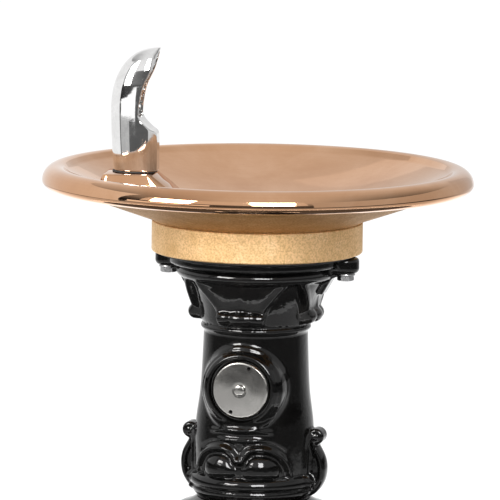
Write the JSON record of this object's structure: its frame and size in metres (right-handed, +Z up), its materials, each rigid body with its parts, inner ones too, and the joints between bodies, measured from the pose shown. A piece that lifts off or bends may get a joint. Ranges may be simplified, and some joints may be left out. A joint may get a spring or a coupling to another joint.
{
  "type": "drinking fountain",
  "caption": "Pedestal drinking fountain: shallow polished bronze bowl with a chrome hooded spout on an ornate black cast-iron column with a push button.",
  "frame": {"origin": "centre of the foot on the floor, on the column's axis", "axes": "+Z up the column, -Y out of the push button, -X towards the spout"},
  "size_m": [0.381, 0.381, 0.9414],
  "materials": {
    "polished_bronze": "cast bronze, turned and polished to a mirror inside and on the rim",
    "rough_bronze": "sand-cast bronze, blasted, fine grain",
    "black_enamel": "gloss black enamel on cast iron",
    "chrome": "polished chrome plate on cast brass",
    "stainless": "satin stainless steel",
    "brass": "machined brass",
    "copper": "drawn copper tube, dull",
    "steel": "zinc-plated steel",
    "rubber": "black rubber gasket",
    "white_plastic": "white moulded plastic"
  },
  "bodies": {
    "fountain": {"bowl": "polished_bronze", "bowl_collar": "rough_bronze", "collar_gasket": "rubber", "flange_washer_left": "steel", "flange_washer_right": "steel", "flange_bolt_left": "steel", "flange_bolt_right": "steel", "spout_gasket": "rubber", "spout_body": "chrome", "spout_nozzle": "chrome", "spout_shank": "brass", "drain_body": "brass", "drain_strainer": "stainless", "strainer_screw": "stainless", "drain_gasket": "rubber", "drain_locknut": "brass", "pedestal_head": "black_enamel", "pedestal_shaft": "black_enamel", "pedestal_base": "black_enamel", "access_cover": "black_enamel", "neck_set_screw_1": "steel", "neck_set_screw_2": "steel", "shaft_bolt_1": "steel", "shaft_bolt_2": "steel", "shaft_bolt_3": "steel", "shaft_bolt_4": "steel", "anchor_bolt_1": "steel", "anchor_bolt_2": "steel", "anchor_bolt_3": "steel", "anchor_bolt_4": "steel", "cover_screw_1": "stainless", "cover_screw_2": "stainless", "cover_screw_3": "stainless", "cover_screw_4": "stainless", "button_sleeve": "steel", "return_spring": "steel", "valve_body": "brass", "valve_bonnet": "brass", "valve_bracket": "steel", "valve_inlet_nut": "brass", "valve_outlet_nut": "brass", "supply_stop_body": "chrome", "stop_outlet_nut": "brass", "supply_riser": "copper", "supply_tube_lower": "copper", "supply_tube_upper": "copper", "spout_supply_nut": "brass", "waste_tailpiece": "chrome", "waste_trap": "chrome", "waste_drop": "chrome", "slip_nut_tailpiece": "white_plastic", "slip_nut_trap": "white_plastic", "slip_nut_drain": "brass"},
    "push_button": {"push_button": "stainless", "button_screw": "stainless", "valve_stem": "stainless"},
    "supply_stop_handle": {"supply_stop_handle": "chrome"}
  },
  "joints": [
    {"name": "button_push", "type": "slide", "parent": "fountain", "child": "push_button", "axis": [0, 1, 0], "range_m": [0, 0.005], "stiffness_N_per_m": 2200, "springref_m": -0.004, "deforming": ["return_spring"]},
    {"name": "supply_stop_turn", "type": "hinge", "parent": "fountain", "child": "supply_stop_handle", "pos_m": [-0.04, -0.01, 0.13], "axis": [0, 1, 0], "range_deg": [0, 90]}
  ]
}
